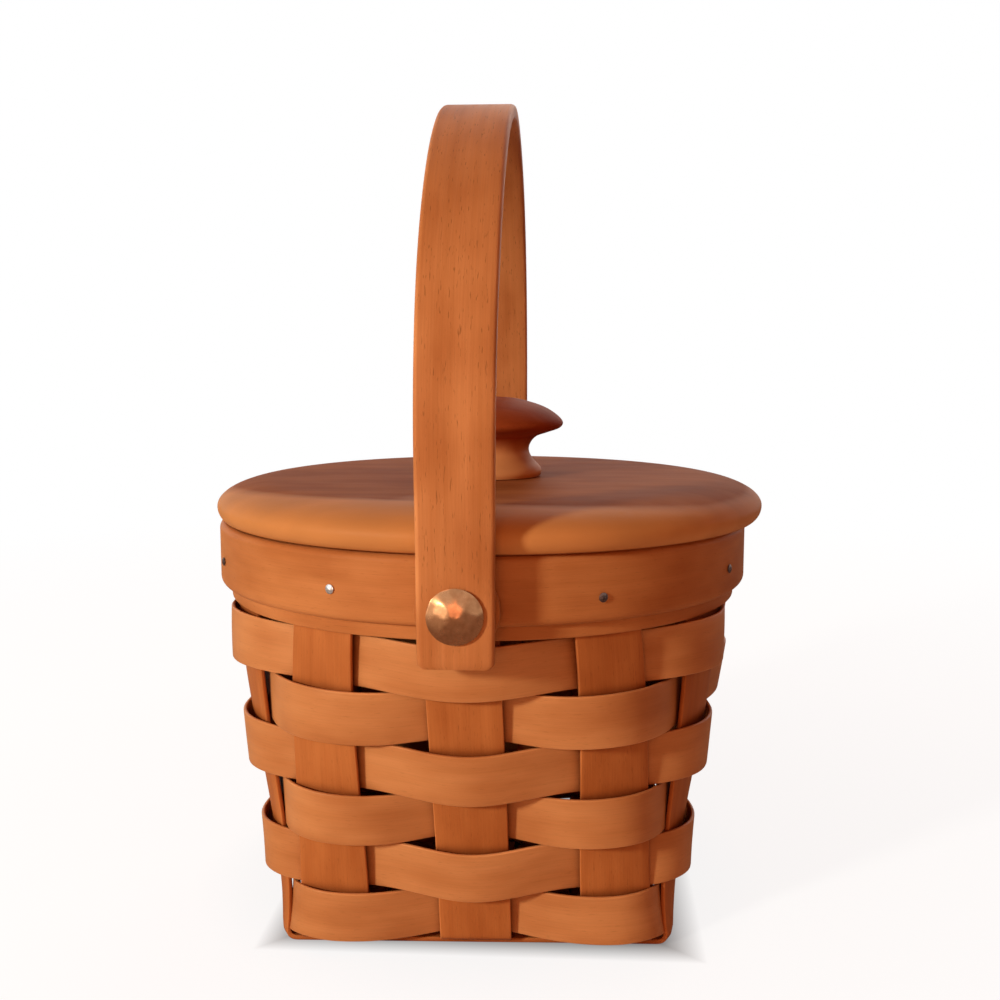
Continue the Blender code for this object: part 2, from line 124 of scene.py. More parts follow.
burr_seat_gap = 0.0007

stake_count = 12
wall_radius = rim_radius - band_thickness - trim_thickness - 2 * clearance - stake_thickness / 2
trim_outer = rim_radius - band_thickness - clearance
inner_band_outer = wall_radius - stake_thickness / 2 - clearance
inner_band_inner = inner_band_outer - inner_band_thickness
row_pitch = (trim_low - rows_top_gap - rows_low) / row_count
weaver_width = row_pitch - row_gap
cross_pitch = base_half - cross_corner_margin - stake_width / 2
floor_low = stake_thickness / 2
floor_high = floor_low + stake_thickness + clearance
lid_low = band_high + clearance
lid_high = lid_low + lid_thickness
spring_height = lid_high + spring_rise
crown_height = spring_height + arch_rise
leg_inner = lid_radius + leg_lid_gap
leg_middle = leg_inner + strap_thickness / 2
leg_outer = leg_inner + strap_thickness
spacer_thickness = leg_inner - rim_radius - 2 * clearance
burr_outer = inner_band_inner - burr_seat_gap
axis_z = Vector((0.0, 0.0, 1.0))

# Sizes that only the finer pieces have
splint_edge_round = 0.0004
splint_end_round = 0.0004
upright_wander = 0.00022
floor_wander = 0.0001
row_edge_round = 0.00045
row_wander = 0.00018
# The far rows' extra width, and how much lower the first row reaches there: they close slits in the weave
far_side_cover = 0.0014
first_row_drop = 0.0031
trim_round_share = 0.45
trim_back_round = 0.0002
# The trim's butt seam, at the back
trim_start = math.radians(158.0)
trim_sweep = math.radians(359.5)
strap_end_round = 0.0012
strap_wander = 0.00008
spacer_edge_round = 0.0006
lid_face_rings = (0.020, 0.045)
lid_top_ease = 0.0006
lid_top_start_deg = 83
lid_underside = 0.0005
# Where the lid's painted light, its paler rim, starts. Away from its widest place it draws back towards the
# edge.
lid_lit_reach = 0.0695
lid_lit_retreat = 0.0170
lid_lit_fade = 0.0045
lid_lit_turn = math.radians(14.0)
lid_lit_spread = math.radians(66.0)
knob_neck_height = 0.0135
knob_neck_light_fade = 0.006
bright_nail = 8

# How fine the meshes are
splint_lines = 7
filler_lines = 5
side_steps = 64
bend_steps = 8
floor_steps = 72
gap_steps = 20
gap_samples = 41
section_faces = 6
section_round_steps = 3
strap_foot_steps = 24
strap_side_steps = 16
strap_arch_steps = 64
disc_rings = 14
disc_steps = 48
ring_face_steps = 6
ring_inner_steps = 3
spacer_corner_steps = 3
lid_top_steps = 26
lid_bottom_steps = 12
knob_piece_steps = 6


# Wall shape, as in the solids: u counts the uprights from the front one, z is the height

u_step = 0.01
slide_pieces = 6


def wall_points(u, z):
    u, z = np.broadcast_arrays(np.asarray(u, float), np.asarray(z, float))
    rise = np.clip(z / band_low, 0.0, 1.0)
    flare = rise + wall_curve_share * rise * (1.0 - rise) * (2.0 * rise - 1.0)
    half = base_half + (wall_radius - base_half) * flare
    roundness = floor_roundness + (1.0 - floor_roundness) * rise**roundness_power
    power = 2.0 / roundness
    floor_angle = math.atan2(stake_pitch, base_half)
    cross_angle = math.atan2(cross_pitch, base_half)
    rim_angle = math.tau / stake_count
    third = math.tau / 3
    wave = np.sin(third * u)
    shift = (floor_angle - rim_angle) * wave
    shift = shift + (cross_angle - floor_angle) * (wave - np.sin(third * u / 2)) / 2
    angle = rim_angle * u + (1.0 - rise) * shift / math.sin(third)
    total = np.abs(np.cos(angle)) ** power + np.abs(np.sin(angle)) ** power
    radius = half / total ** (1.0 / power)
    turned = angle + base_turn * (1.0 - rise)
    return np.stack([radius * np.sin(turned), -radius * np.cos(turned), z], -1)


def wall_normals(u, z):
    z_step = stake_thickness / 2
    along = wall_points(u + u_step, z) - wall_points(u - u_step, z)
    up = wall_points(u, z + z_step) - wall_points(u, z - z_step)
    out = np.cross(along, up)
    return out / np.linalg.norm(out, axis=-1, keepdims=True)


def beside(u, z, distance):
    """Places that lie that far along the wall from places u, at heights z."""
    u, z, distance = np.broadcast_arrays(*(np.asarray(v, float) for v in (u, z, distance)))
    u = u.copy()
    for _ in range(slide_pieces):
        rate = np.linalg.norm(wall_points(u + u_step, z) - wall_points(u - u_step, z), axis=-1)
        u += distance / slide_pieces / (rate / (2 * u_step))
    return u


# Mesh makers

grain_spread = 40.0
fullest_round_share = 0.98
end_thinning_share = 0.6
wander_waves = (1, 2, 3, 5, 8)
wander_fall_power = 0.6


def eased(t):
    """A share from 0 to 1 that starts and ends gently."""
    return t * t * (3 - 2 * t)


def finish_mesh(name, verts, faces, grain, edge, sharp_deg=50.0):
    mesh = bpy.data.meshes.new(name)
    mesh.from_pydata([tuple(v) for v in verts], [], faces)
    mesh.validate()
    mesh.update()
    data = mesh.attributes.new("grain", "FLOAT_VECTOR", "POINT")
    data.data.foreach_set("vector", np.asarray(grain, np.float32).ravel())
    data = mesh.attributes.new("edge", "FLOAT", "POINT")
    data.data.foreach_set("value", np.asarray(edge, np.float32).ravel())
    mesh.shade_smooth()
    mesh.set_sharp_from_angle(angle=math.radians(sharp_deg))
    obj = bpy.data.objects.new(name, mesh)
    bpy.context.scene.collection.objects.link(obj)
    return obj


def turned_outward(verts, faces):
    """The faces with their windings set so that the closed mesh has its faces outward."""
    v = np.asarray(verts)
    volume = 0.0
    for f in faces:
        for i in range(1, len(f) - 1):
            volume += np.dot(v[f[0]], np.cross(v[f[i]], v[f[i + 1]]))
    return [tuple(reversed(f)) for f in faces] if volume < 0 else faces


def section_points(width, thickness, edge_round):
    """A rounded rectangle as (distance across, offset, edge share), from its outer face on."""
    r = min(edge_round, thickness / 2 * fullest_round_share)
    half = thickness / 2
    quarter = [math.pi / 2 * i / section_round_steps for i in range(1, section_round_steps)]
    points = [(r + (width - 2 * r) * i / section_faces, half, 0.0) for i in range(section_faces + 1)]
    points += [(width - r + r * math.sin(a), half - r + r * math.cos(a), 1.0) for a in quarter]
    points += [(width, half - r, 1.0), (width, r - half, 1.0)]
    points += [(width - r + r * math.cos(a), r - half - r * math.sin(a), 1.0) for a in quarter]
    return points + [(width - across, -offset, edge) for across, offset, edge in points]


def edge_wander(length, rng, amount):
    """A slow wander of a splint's edge along its length, as a function of the distance."""
    waves = [(rng.uniform(0.5, 1.0), rng.uniform(0, math.tau), k) for k in wander_waves]

    def wander(s):
        total = 0.0
        for weight, phase, k in waves:
            total = total + weight / k**wander_fall_power * np.sin(math.tau * k * s / length + phase)
        return amount * total / 2.0

    return wander


def thick_grid(name, grid, width, thickness, edge_round, closed, seed, wander=0.0, end_round=0.0):
    """A closed splint round the surface grid[along, across], whose outer side is left of the way along."""
    rng = random.Random(seed)
    n, m = grid.shape[:2]
    if closed:
        along = np.roll(grid, -1, 0) - np.roll(grid, 1, 0)
    else:
        along = np.gradient(grid, axis=0)
    across = np.gradient(grid, axis=1)
    normal = np.cross(along, across)
    normal /= np.linalg.norm(normal, axis=-1, keepdims=True)
    middle = grid[:, m // 2]
    steps = np.linalg.norm(np.diff(middle, axis=0), axis=1)
    s = np.concatenate([[0.0], np.cumsum(steps)])
    total = s[-1] + (np.linalg.norm(middle[0] - middle[-1]) if closed else 0.0)
    low_edge, high_edge = edge_wander(total, rng, wander), edge_wander(total, rng, wander)
    section = section_points(width, thickness, edge_round)
    count = len(section)
    shrink = np.zeros(n)
    if end_round and not closed:
        inside = np.minimum(s, total - s)
        d = np.clip(inside, 0.0, end_round)
        shrink = end_round - np.sqrt(np.maximum(end_round**2 - (end_round - d) ** 2, 0.0))
    low, high = low_edge(s) + shrink, high_edge(s) - shrink
    offset = rng.uniform(0.0, grain_spread)
    verts, grain, edge = [], [], []
    rows = np.arange(n)
    for y, t, e in section:
        share = y / width
        place = low + (width + high - low) * share
        v = place / width * (m - 1)
        j = np.clip(np.floor(v).astype(int), 0, m - 2)
        k = (v - j)[:, None]
        p = grid[rows, j] * (1 - k) + grid[rows, j + 1] * k
        q = normal[rows, j] * (1 - k) + normal[rows, j + 1] * k
        q /= np.linalg.norm(q, axis=-1, keepdims=True)
        depth = np.sign(t) * np.maximum(np.abs(t) - shrink * end_thinning_share, 0.0)
        verts.append(p + q * depth[:, None])
        grain.append(np.stack([s + offset, np.full(n, y + offset), np.full(n, t + offset)], -1))
        edge.append(np.full(n, e))
    verts = np.stack(verts, 1).reshape(-1, 3)
    grain = np.stack(grain, 1).reshape(-1, 3)
    edge = np.stack(edge, 1).reshape(-1)
    faces = []
    for i in range(n if closed else n - 1):
        a, b = i * count, (i + 1) % n * count
        for j in range(count):
            k = (j + 1) % count
            faces.append((a + j, a + k, b + k, b + j))
    if not closed:
        faces.append(tuple(range(count)))
        faces.append(tuple(reversed(range((n - 1) * count, n * count))))
    return finish_mesh(name, verts, turned_outward(verts, faces), grain, edge)


def lathe(name, profile, steps, loop, grain_way, seed, start=0.0, sweep=math.tau, lit_share=None):
    """A (radius, height) profile spun about Z. The function given last, of (radius, angle, height), gives the
    share of painted light kept in the edge attribute.
    """
    offset = random.Random(seed).uniform(0.0, grain_spread)
    whole = abs(sweep - math.tau) < 1e-9
    turns = steps if whole else steps + 1
    verts, grain, edge, index = [], [], [], {}
    for i in range(turns):
        a = start + sweep * i / steps
        for j, (r, z) in enumerate(profile):
            if r <= 0.0 and (0, j) in index:
                index[(i, j)] = index[(0, j)]
                continue
            index[(i, j)] = len(verts)
            x, y = r * math.sin(a), -r * math.cos(a)
            verts.append(Vector((x, y, z)))
            spot = (rim_radius * a, z, r) if grain_way == "round" else (x, y, z)
            grain.append([v + offset for v in spot])
            edge.append(lit_share(r, a, z) if lit_share else 0.0)
    faces = []
    count = len(profile)
    for i in range(steps):
        k = (i + 1) % turns
        for j in range(count if loop else count - 1):
            quad = (index[(i, j)], index[(k, j)], index[(k, (j + 1) % count)], index[(i, (j + 1) % count)])
            face = tuple(dict.fromkeys(quad))
            if len(face) > 2:
                faces.append(face)
    if not whole and loop:
        faces.append(tuple(index[(0, j)] for j in range(count)))
        faces.append(tuple(index[(turns - 1, j)] for j in reversed(range(count))))
    return finish_mesh(name, verts, turned_outward(verts, faces), grain, edge)


def outward_matrix(radius, height, angle_deg):
    """Puts a piece's own Z outward, at that angle from the front."""
    angle = math.radians(angle_deg)
    out = Vector((math.sin(angle), -math.cos(angle), 0.0))
    side = Vector((math.cos(angle), math.sin(angle), 0.0))
    turn = Matrix((side, axis_z, out)).transposed().to_4x4()
    return Matrix.Translation(out * radius + axis_z * height) @ turn


def arc(centre_r, centre_z, radius_r, radius_z, start_deg, end_deg, steps):
    points = []
    for i in range(steps + 1):
        angle = math.radians(start_deg + (end_deg - start_deg) * i / steps)
        points.append((centre_r + radius_r * math.cos(angle), centre_z + radius_z * math.sin(angle)))
    return points


def smooth_path(points, per_piece):
    """Catmull-Rom points through the given (radius, height) pairs."""
    p = [Vector((r, z)) for r, z in points]
    p = [2 * p[0] - p[1]] + p + [2 * p[-1] - p[-2]]
    out = []
    for i in range(1, len(p) - 2):
        for k in range(per_piece):
            t = k / per_piece
            a, b, c, d = p[i - 1], p[i], p[i + 1], p[i + 2]
            v = 2 * b + (c - a) * t
            v = 0.5 * (v + (2 * a - 5 * b + 4 * c - d) * t**2 + (3 * b - a - 3 * c + d) * t**3)
            out.append((max(v.x, 0.0), v.y))
    out.append((p[-2].x, p[-2].y))
    return out


def place(obj, body, nodes, slot, material):
    obj.data.materials.append(material)
    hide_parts(*nodes)
    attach(obj, body)


# Shader nodes


def feed(tree, made, inputs):
    """Sets each named input to its value, or links it where the value is another node's output."""
    for key, value in inputs.items():
        if isinstance(value, bpy.types.NodeSocket):
            tree.links.new(value, made.inputs[key])
        else:
            made.inputs[key].default_value = value


def node(tree, kind, inputs, **values):
    made = tree.nodes.new(kind)
    for key, value in values.items():
        setattr(made, key, value)
    feed(tree, made, inputs)
    return made


def result(tree, operation, *values):
    return node(tree, "ShaderNodeMath", dict(enumerate(values)), operation=operation).outputs[0]


def between(tree, value, low, high):
    """A number that goes from low to high while value goes from 0 to 1."""
    return node(tree, "ShaderNodeMapRange", {"Value": value, "To Min": low, "To Max": high}).outputs[0]


def noise(tree, spot, scale, detail, rough):
    inputs = {"Vector": spot, "Scale": scale, "Detail": detail, "Roughness": rough}
    return node(tree, "ShaderNodeTexNoise", inputs).outputs["Fac"]


def bump(tree, height, strength, depth):
    inputs = {"Height": height, "Strength": strength, "Distance": depth}
    return node(tree, "ShaderNodeBump", inputs).outputs[0]


def mix(tree, blend, share, *colours):
    """Two colours mixed. Each is a tuple or another node's output."""
    first, second = ((*v, 1.0) if isinstance(v, tuple) else v for v in colours)
    inputs = {0: share, 6: first, 7: second}
    return node(tree, "ShaderNodeMix", inputs, data_type="RGBA", blend_type=blend).outputs[2]


def ramp(tree, value, stops):
    """A colour ramp of (place, colour) stops. A colour is a tuple, or a number for a grey."""
    made = node(tree, "ShaderNodeValToRGB", {0: value})
    while len(made.color_ramp.elements) < len(stops):
        made.color_ramp.elements.new(0.5)
    for element, (at, colour) in zip(made.color_ramp.elements, stops):
        element.position = at
        element.color = (*colour, 1.0) if isinstance(colour, tuple) else (colour, colour, colour, 1.0)
    return made.outputs[0]


def new_material(name):
    material = bpy.data.materials.new(name)
    material.use_nodes = True
    return material, material.node_tree, material.node_tree.nodes["Principled BSDF"]


# Wood and metal

plain_white = (1.0, 1.0, 1.0)
fine_scale = (60, 2400, 2400)
fleck_scale = (330, 2600, 2600)
cloud_scale = (34, 75, 75)
pore_share, pore_grey = 0.20, 0.72
stain_share, cloud_stain = 0.85, (0.80, 0.70, 0.62)
fleck_darkening = 0.5
worn_gain, worn_lift = 1.45, 0.02
# Painted shade: ambient occlusion within this reach darkens crevices and places where pieces touch
hollow_shade_share, hollow_shade_colour = 0.9, (0.42, 0.26, 0.20)
hollow_reach = 0.005
hollow_samples = 6
side_polish = 0.16
wood_shine = (1.0, 0.74, 0.56, 1.0)
wood_bump, wood_bump_depth = 0.35, 0.00012
metal_bump, metal_bump_depth = 0.3, 0.0001


def wood(
    name, dark, light, roughness=0.46, sheen=0.10, streak=(16, 330), fleck=0.45, side=None, hollows=False,
    from_object=False,
):
    """Stained wood, with its grain along the grain attribute's first axis. side is a paler colour, painted as
    light where the edge share is set, and hollows paints shade into crevices and contacts.
    """
    material, tree, shader = new_material(name)
    if from_object:
        spot = node(tree, "ShaderNodeTexCoord", {}).outputs["Object"]
    else:
        spot = node(tree, "ShaderNodeAttribute", {}, attribute_name="grain").outputs["Vector"]
        edge = node(tree, "ShaderNodeAttribute", {}, attribute_name="edge").outputs["Fac"]

    def layer(scale, detail, rough):
        stretched = node(tree, "ShaderNodeMapping", {"Vector": spot, "Scale": scale}).outputs[0]
        return noise(tree, stretched, 1.0, detail, rough)

    streaks = layer((streak[0], streak[1], streak[1]), 4.0, 0.55)
    fine = layer(fine_scale, 3.0, 0.55)
    flecks = layer(fleck_scale, 1.0, 0.5)
    clouds = layer(cloud_scale, 2.0, 0.5)
    middle = tuple((a + b) / 2 for a, b in zip(dark, light))
    pores = ramp(tree, fine, [(0.35, pore_grey), (0.6, 1.0)])
    stains = ramp(tree, clouds, [(0.34, cloud_stain), (0.62, plain_white)])
    fleck_mask = ramp(tree, flecks, [(0.66, 0.0), (0.75, fleck)])
    colour = ramp(tree, streaks, [(0.22, dark), (0.50, middle), (0.80, light)])
    colour = mix(tree, "MULTIPLY", pore_share, colour, pores)
    colour = mix(tree, "MULTIPLY", stain_share, colour, stains)
    colour = mix(tree, "MIX", fleck_mask, colour, tuple(v * fleck_darkening for v in dark))
    shine = sheen
    # Painted light: where the edge attribute holds a share of painted light, the colour turns to the paler
    # side colour, mottled by the clouds
    if side is not None:
        lit_side_colour = mix(tree, "MULTIPLY", 1.0, side, ramp(tree, clouds, [(0.3, 0.86), (0.7, 1.0)]))
        colour = mix(tree, "MIX", edge, colour, lit_side_colour)
        shine = between(tree, edge, sheen, sheen + side_polish)
    elif not from_object:
        worn = result(tree, "MULTIPLY", edge, ramp(tree, clouds, [(0.4, 0.05), (0.7, 0.42)]))
        colour = mix(tree, "MIX", worn, colour, tuple(min(v * worn_gain + worn_lift, 1.0) for v in light))
    # Painted shade: ambient occlusion darkens the colour in crevices and where pieces touch
    if hollows:
        hollow = node(tree, "ShaderNodeAmbientOcclusion", {"Distance": hollow_reach}, samples=hollow_samples)
        hollow_shade = ramp(tree, hollow.outputs["AO"], [(0.25, hollow_shade_colour), (0.8, plain_white)])
        colour = mix(tree, "MULTIPLY", hollow_shade_share, colour, hollow_shade)
    height = result(tree, "ADD", streaks, fine)
    feed(tree, shader, {
        "Base Color": colour,
        "Roughness": between(tree, fine, roughness - 0.08, roughness + 0.14),
        "Normal": bump(tree, height, wood_bump, wood_bump_depth),
        "Specular IOR Level": shine,
        "Specular Tint": wood_shine,
    })
    return material


def metal(name, colour, dull, roughness, scale):
    material, tree, shader = new_material(name)
    spot = node(tree, "ShaderNodeTexCoord", {}).outputs["Object"]
    blotches = noise(tree, spot, scale, 4.0, 0.5)
    feed(tree, shader, {
        "Metallic": 1.0,
        "Base Color": ramp(tree, blotches, [(0.35, dull), (0.62, colour)]),
        "Roughness": between(tree, blotches, roughness + 0.18, roughness - 0.05),
        "Normal": bump(tree, blotches, metal_bump, metal_bump_depth),
    })
    return material


# Uprights and rows get painted shade in their crevices and contacts (hollows)
upright_wood = wood(
    "upright_wood", (0.48, 0.144, 0.035), (0.61, 0.206, 0.056), streak=(9, 230), fleck=0.35, hollows=True
)
row_wood = wood(
    "row_wood", (0.60, 0.228, 0.072), (0.70, 0.295, 0.104), roughness=0.40, sheen=0.20, streak=(14, 150),
    fleck=0.25, hollows=True,
)
band_wood = wood("band_wood", (0.53, 0.186, 0.053), (0.65, 0.246, 0.078), streak=(12, 170), fleck=0.3)
handle_wood = wood("handle_wood", (0.56, 0.196, 0.058), (0.71, 0.275, 0.094), streak=(7, 300), fleck=0.7)
# Painted light and shade: the rim takes the paler side colour where the key light falls; the top, which the
# light grazes, keeps the darker colours
lid_wood = wood(
    "lid_wood", (0.38, 0.118, 0.034), (0.48, 0.158, 0.048), roughness=0.50, sheen=0.02, streak=(12, 120),
    fleck=0.1, side=(0.67, 0.262, 0.074),
)
# Painted light: the knob's neck, shaded by the cap, takes the paler side colour
knob_wood = wood(
    "knob_wood", (0.33, 0.055, 0.014), (0.46, 0.092, 0.024), roughness=0.46, sheen=0.03, streak=(30, 260),
    fleck=0.2, side=(0.80, 0.32, 0.11),
)
copper = metal("copper", (0.46, 0.21, 0.095), (0.34, 0.145, 0.062), roughness=0.24, scale=420.0)
aged_steel = metal("aged_steel", (0.15, 0.095, 0.078), (0.06, 0.035, 0.030), roughness=0.40, scale=1500.0)
steel = metal("steel", (0.75, 0.74, 0.72), (0.42, 0.40, 0.38), roughness=0.28, scale=1500.0)


# Uprights and floor splints

all_crossings = (-2, -1, 0, 1, 2)
upright_crossings = (-2, 0, 2)


def floor_heights(end, pitch, crossings, over_stakes, last_level, distances):
    """Heights along a floor strip. Crossed strips are counted in half pitches, even ones are uprights."""
    levels = [(-end, last_level)]
    for crossing in crossings:
        crosses_stake = crossing % 2 == 0
        half_width = (stake_width if crosses_stake else filler_width) / 2 + floor_ease
        height = floor_high if crosses_stake == over_stakes else floor_low
        middle = crossing * pitch / 2
        if crossing > all_crossings[0]:
            levels.append((middle - half_width, height))
        if crossing < all_crossings[-1]:
            levels.append((middle + half_width, height))
    levels.append((end, last_level))
    out = []
    for d in distances:
        for (d0, h0), (d1, h1) in zip(levels, levels[1:]):
            if d <= d1 or (d1, h1) == levels[-1]:
                t = min(max((d - d0) / max(d1 - d0, 1e-9), 0.0), 1.0)
                out.append(h0 + (h1 - h0) * eased(t))
                break
    return out


def stake_line(u_start, u_end, across, pitch, crossings, over_stakes):
    """One line along an upright: down from place u_start, over the floor and up to u_end."""
    level = floor_high if over_stakes else floor_low
    bend_size = upper_bend_radius if over_stakes else bend_radius
    z = np.linspace(band_high - stake_top_drop, level + bend_size, side_steps)

    def side(u_centre, direction):
        points = wall_points(beside(u_centre, z, across * direction), z)
        corner = wall_points(beside(u_centre, level, across * direction), level)
        return points, corner

    start_side, start_corner = side(u_start, 1.0)
    end_side, end_corner = side(u_end, -1.0)
    direction = end_corner - start_corner
    length = np.linalg.norm(direction)
    direction /= length
    middle = (start_corner + end_corner) / 2
    end = length / 2 - bend_size
    distances = np.linspace(-end, end, floor_steps)
    floor = middle + direction * distances[:, None]
    floor[:, 2] = floor_heights(end, pitch, crossings, over_stakes, level, distances)

    def bend(wall_foot, corner, floor_start):
        t = (np.arange(1, bend_steps) / bend_steps)[:, None]
        a, b = wall_foot + (corner - wall_foot) * t, corner + (floor_start - corner) * t
        return a + (b - a) * t

    first = bend(start_side[-1], start_corner, floor[0])
    last = bend(end_side[-1], end_corner, floor[-1])
    return np.concatenate([start_side, first, floor, last[::-1], end_side[::-1]])


upright_places = np.linspace(-stake_width / 2, stake_width / 2, splint_lines)
seed = 11
for way, labels in (("lengthways", ("left", "middle", "right")), ("crossways", ("front", "middle", "back"))):
    for index, label in zip((-1, 0, 1), labels):
        along = way == "lengthways"
        if along:
            ends = (index, stake_count // 2 - index)
        else:
            ends = (stake_count * 3 // 4 - index, stake_count // 4 + index)
        pitch = cross_pitch if along else stake_pitch
        crossed = all_crossings if along or index == 0 else upright_crossings
        lines = [stake_line(*ends, across, pitch, crossed, along) for across in upright_places]
        seed += 1
        obj = thick_grid(
            f"upright_{way}_{label}", np.stack(lines, 1), stake_width, stake_thickness, splint_edge_round,
            closed=False, seed=seed, wander=upright_wander, end_round=splint_end_round,
        )
        place(obj, "basket", [f"stake_{way}_{label}"], "splint", upright_wood)

turn = np.array(Matrix.Rotation(base_turn, 3, "Z"))
long_end = cross_pitch - stake_width / 2 + filler_end_lap
cross_end = base_half - filler_end_setback
for way, labels in (("lengthways", ("left", "right")), ("crossways", ("front", "back"))):
    for side, label in zip((-1, 1), labels):
        if way == "lengthways":
            end, pitch, crossed, over = long_end, cross_pitch, (-1, 0, 1), False
            centre = side * stake_pitch / 2
        else:
            end, pitch, crossed, over = cross_end, stake_pitch, all_crossings, True
            centre = side * cross_pitch / 2
        distances = np.linspace(-end, end, floor_steps)
        heights = floor_heights(end, pitch, crossed, over, floor_high, distances)
        lines = []
        for across in np.linspace(-filler_width / 2, filler_width / 2, filler_lines):
            offset = np.full(floor_steps, centre + across)
            line = (distances, offset, heights) if over else (offset, distances, heights)
            lines.append(np.stack(line, -1) @ turn.T)
        seed += 1
        obj = thick_grid(
            f"floor_splint_{way}_{label}", np.stack(lines, 1), filler_width, stake_thickness,
            splint_edge_round, closed=False, seed=seed, wander=floor_wander, end_round=splint_end_round,
        )
        place(obj, "basket", [f"floor_filler_{way}_{label}"], "splint", upright_wood)


# Woven rows

far_start_share = 0.05
far_fade_share = 0.4


def row_line(row, edge):
    """One line round a row, from the back upright on. edge is -1 at its lower side and 1 at its upper."""
    middle = rows_low + row_pitch * (row - 0.5)
    rise = min(middle / band_low, 1.0)
    fade = 1.0 - rise**lift_fade_power
    line = []
    for upright in range(stake_count // 2, stake_count // 2 + stake_count):
        side = 1.0 if (upright + row) % 2 == 0 else -1.0
        samples = np.linspace(upright, upright + 1, gap_samples)
        spots = wall_points(samples, middle + edge * weaver_width / 2)
        length = np.linalg.norm(np.diff(spots, axis=0), axis=1).sum()
        d = np.arange(gap_steps) / gap_steps * length
        wave = side * np.cos(math.pi * d / length)
        share = d / length
        front = (1.0 + np.cos(math.tau * (upright + share) / stake_count)) / 2
        far = 1.0 - np.clip((front - far_start_share) / far_fade_share, 0.0, 1.0)
        dip = front_dip * front**front_dip_power * (1.0 - rise)
        lift = weaver_side_lift + (weaver_front_lift - weaver_side_lift) * front**front_lift_power
        z = middle + edge * (weaver_width + far_side_cover * far) / 2 - lift * front * fade * wave - dip
        if row == 1:
            z = z - first_row_drop * far * (1.0 - edge) / 2
        u = beside(upright, z, d) * (1 - share) + beside(upright + 1, z, d - length) * share
        out = weaver_sway * wave - weaver_lean * edge
        line.append(wall_points(u, z) + wall_normals(u, z) * out[:, None])
    return np.concatenate(line)


for row in range(1, row_count + 1):
    grid = np.stack([row_line(row, edge) for edge in np.linspace(-1.0, 1.0, splint_lines)], 1)
    seed += 1
    obj = thick_grid(
        f"woven_row_{row}", grid, weaver_width, weaver_thickness, row_edge_round, closed=True, seed=seed,
        wander=row_wander,
    )
    place(obj, "basket", [f"weaver_row_{row}"], "splint", row_wood)


# Rim


def ring_profile(inner, outer, low, high, top_round, bottom_round, inner_round, steps):
    """A band's section, from the top of its outer face down and round."""
    top, bottom = high - top_round, low + bottom_round
    points = arc(outer - top_round, top, top_round, top_round, 90, 0, steps)
    points += [(outer, top - (top - bottom) * i / ring_face_steps) for i in range(1, ring_face_steps)]
    points += arc(outer - bottom_round, bottom, bottom_round, bottom_round, 0, -90, steps)
    r = inner_round
    points += arc(inner + r, low + r, r, r, 270, 180, ring_inner_steps)
    points += arc(inner + r, high - r, r, r, 180, 90, ring_inner_steps)
    return points


def band(name, node_name, profile, steps, seed, start=0.0, sweep=math.tau):
    obj = lathe(name, profile, steps, loop=True, grain_way="round", seed=seed, start=start, sweep=sweep)
    place(obj, "basket", [node_name], "band", band_wood)


band_inner_round = (band_thickness - max(band_top_round, band_bottom_round)) / 2
band_profile = ring_profile(
    rim_radius - band_thickness, rim_radius, band_low, band_high, band_top_round, band_bottom_round,
    band_inner_round, steps=7,
)
band("rim_band", "rim_band_outer", band_profile, steps=192, seed=31)
liner_profile = ring_profile(
    inner_band_inner, inner_band_outer, band_low, band_high, inner_band_round, inner_band_round,
    inner_band_round, steps=4,
)
band("rim_liner_band", "rim_band_inner", liner_profile, steps=160, seed=32)
trim_inner = trim_outer - trim_thickness
trim_round = trim_thickness * trim_round_share
trim_profile = ring_profile(
    trim_inner, trim_outer, trim_low, trim_high, trim_round, trim_round, trim_back_round, steps=3
)
band("rim_trim", "rim_trim_strip", trim_profile, steps=172, seed=33, start=trim_start, sweep=trim_sweep)


# Nails

dome_share = 0.80
flat_reach_share = 0.85
flat_depth_share = 0.09
lip_share = 0.18
lip_foot_share = 0.05
lip_radius_share = 0.985
seat_radius_share = 0.96
disc_sharp_deg = 35.0


